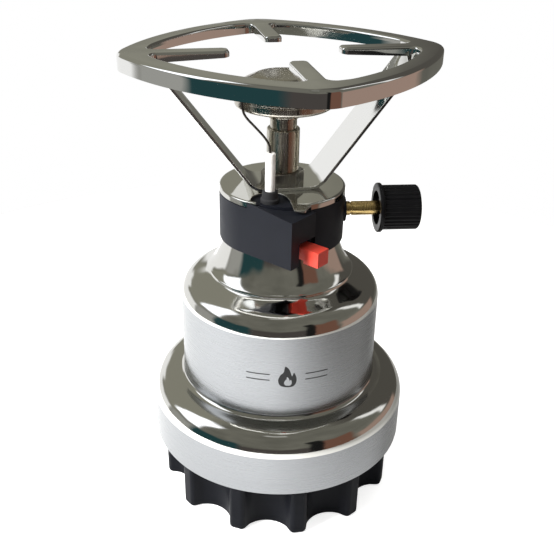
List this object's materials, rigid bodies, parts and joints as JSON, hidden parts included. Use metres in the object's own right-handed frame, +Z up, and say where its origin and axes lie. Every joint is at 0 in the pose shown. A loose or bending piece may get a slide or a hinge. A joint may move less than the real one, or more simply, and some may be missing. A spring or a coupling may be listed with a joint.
{
  "type": "gas camping stove",
  "caption": "Upright camping stove over a hidden gas cartridge, with a screw base, a gas knob, a push-button igniter and a rounded square pot support.",
  "frame": {"origin": "centre of the screw base's underside, on the surface that the stove stands on", "axes": "+Z up along the stove's axis; +X along the gas knob's axis, towards the knob; -Y towards the corner of the igniter housing"},
  "size_m": [0.14, 0.14, 0.2192],
  "materials": {
    "stainless_steel": "satin walls with polished shoulders",
    "chromed_steel": "bright chrome plate",
    "burner_steel": "drawn, faintly streaked",
    "zinc_steel": "zinc plated",
    "hardened_steel": "ground",
    "turned_brass": "turned",
    "seal_rubber": "matt",
    "black_plastic": "fine moulded grain",
    "base_plastic": "satin moulded",
    "knob_plastic": "half gloss",
    "grey_plastic": "matt",
    "red_plastic": "half gloss",
    "lead_sleeve": "silicone",
    "white_ceramic": "glazed white",
    "electrode_wire": "dark oxidised",
    "painted_can": "painted",
    "bare_tinplate": "bright tinplate"
  },
  "bodies": {
    "stove": {"outer_shell": "stainless_steel", "thread_lugs": "stainless_steel", "valve_body": "turned_brass", "piercing_needle": "hardened_steel", "cartridge_gasket": "seal_rubber", "gas_jet": "turned_brass", "gland_nut": "turned_brass", "igniter_housing": "black_plastic", "cap_plate": "chromed_steel", "piezo_body": "grey_plastic", "high_voltage_lead": "lead_sleeve", "electrode_grommet": "seal_rubber", "ceramic_insulator": "white_ceramic", "spark_electrode": "electrode_wire", "clamp_nut": "zinc_steel", "support_strip": "chromed_steel", "pot_support": "chromed_steel", "venturi_sleeve": "burner_steel", "mixing_tube": "burner_steel", "burner_bowl": "burner_steel", "burner_cap": "burner_steel", "burner_screen": "burner_steel"},
    "gas_needle": {"valve_needle": "hardened_steel"},
    "knob": {"valve_spindle": "turned_brass", "spindle_seal": "seal_rubber", "knob": "knob_plastic", "knob_insert": "zinc_steel"},
    "push_button": {"ignition_button": "red_plastic"},
    "cartridge": {"cartridge_can": "painted_can", "cartridge_dome": "bare_tinplate"},
    "base": {"base_cap": "base_plastic"}
  },
  "joints": [
    {"name": "cartridge_slide", "type": "slide", "parent": "stove", "child": "cartridge", "axis": [0, 0, -1], "range_m": [0, 0.01]},
    {"name": "base_turn", "type": "hinge", "parent": "cartridge", "child": "base", "pos_m": [0, 0, 0], "axis": [0, 0, -1], "range_deg": [0, 900]},
    {"name": "needle_slide", "type": "slide", "parent": "stove", "child": "gas_needle", "axis": [1, 0, 0], "range_m": [0, 0.0012]},
    {"name": "knob_turn", "type": "hinge", "parent": "gas_needle", "child": "knob", "pos_m": [0.05, 0, 0.1454], "axis": [1, 0, 0], "range_deg": [0, 540]},
    {"name": "button_press", "type": "slide", "parent": "stove", "child": "push_button", "axis": [-0.7071, 0.7071, 0], "range_m": [0, 0.0045], "stiffness_N_per_m": 1500, "springref_m": -0.002}
  ],
  "couplings": [
    {"joint": "cartridge_slide", "follows": "base_turn", "m_per_rad": 0.00063662},
    {"joint": "knob_turn", "follows": "needle_slide", "rad_per_m": 7854}
  ]
}
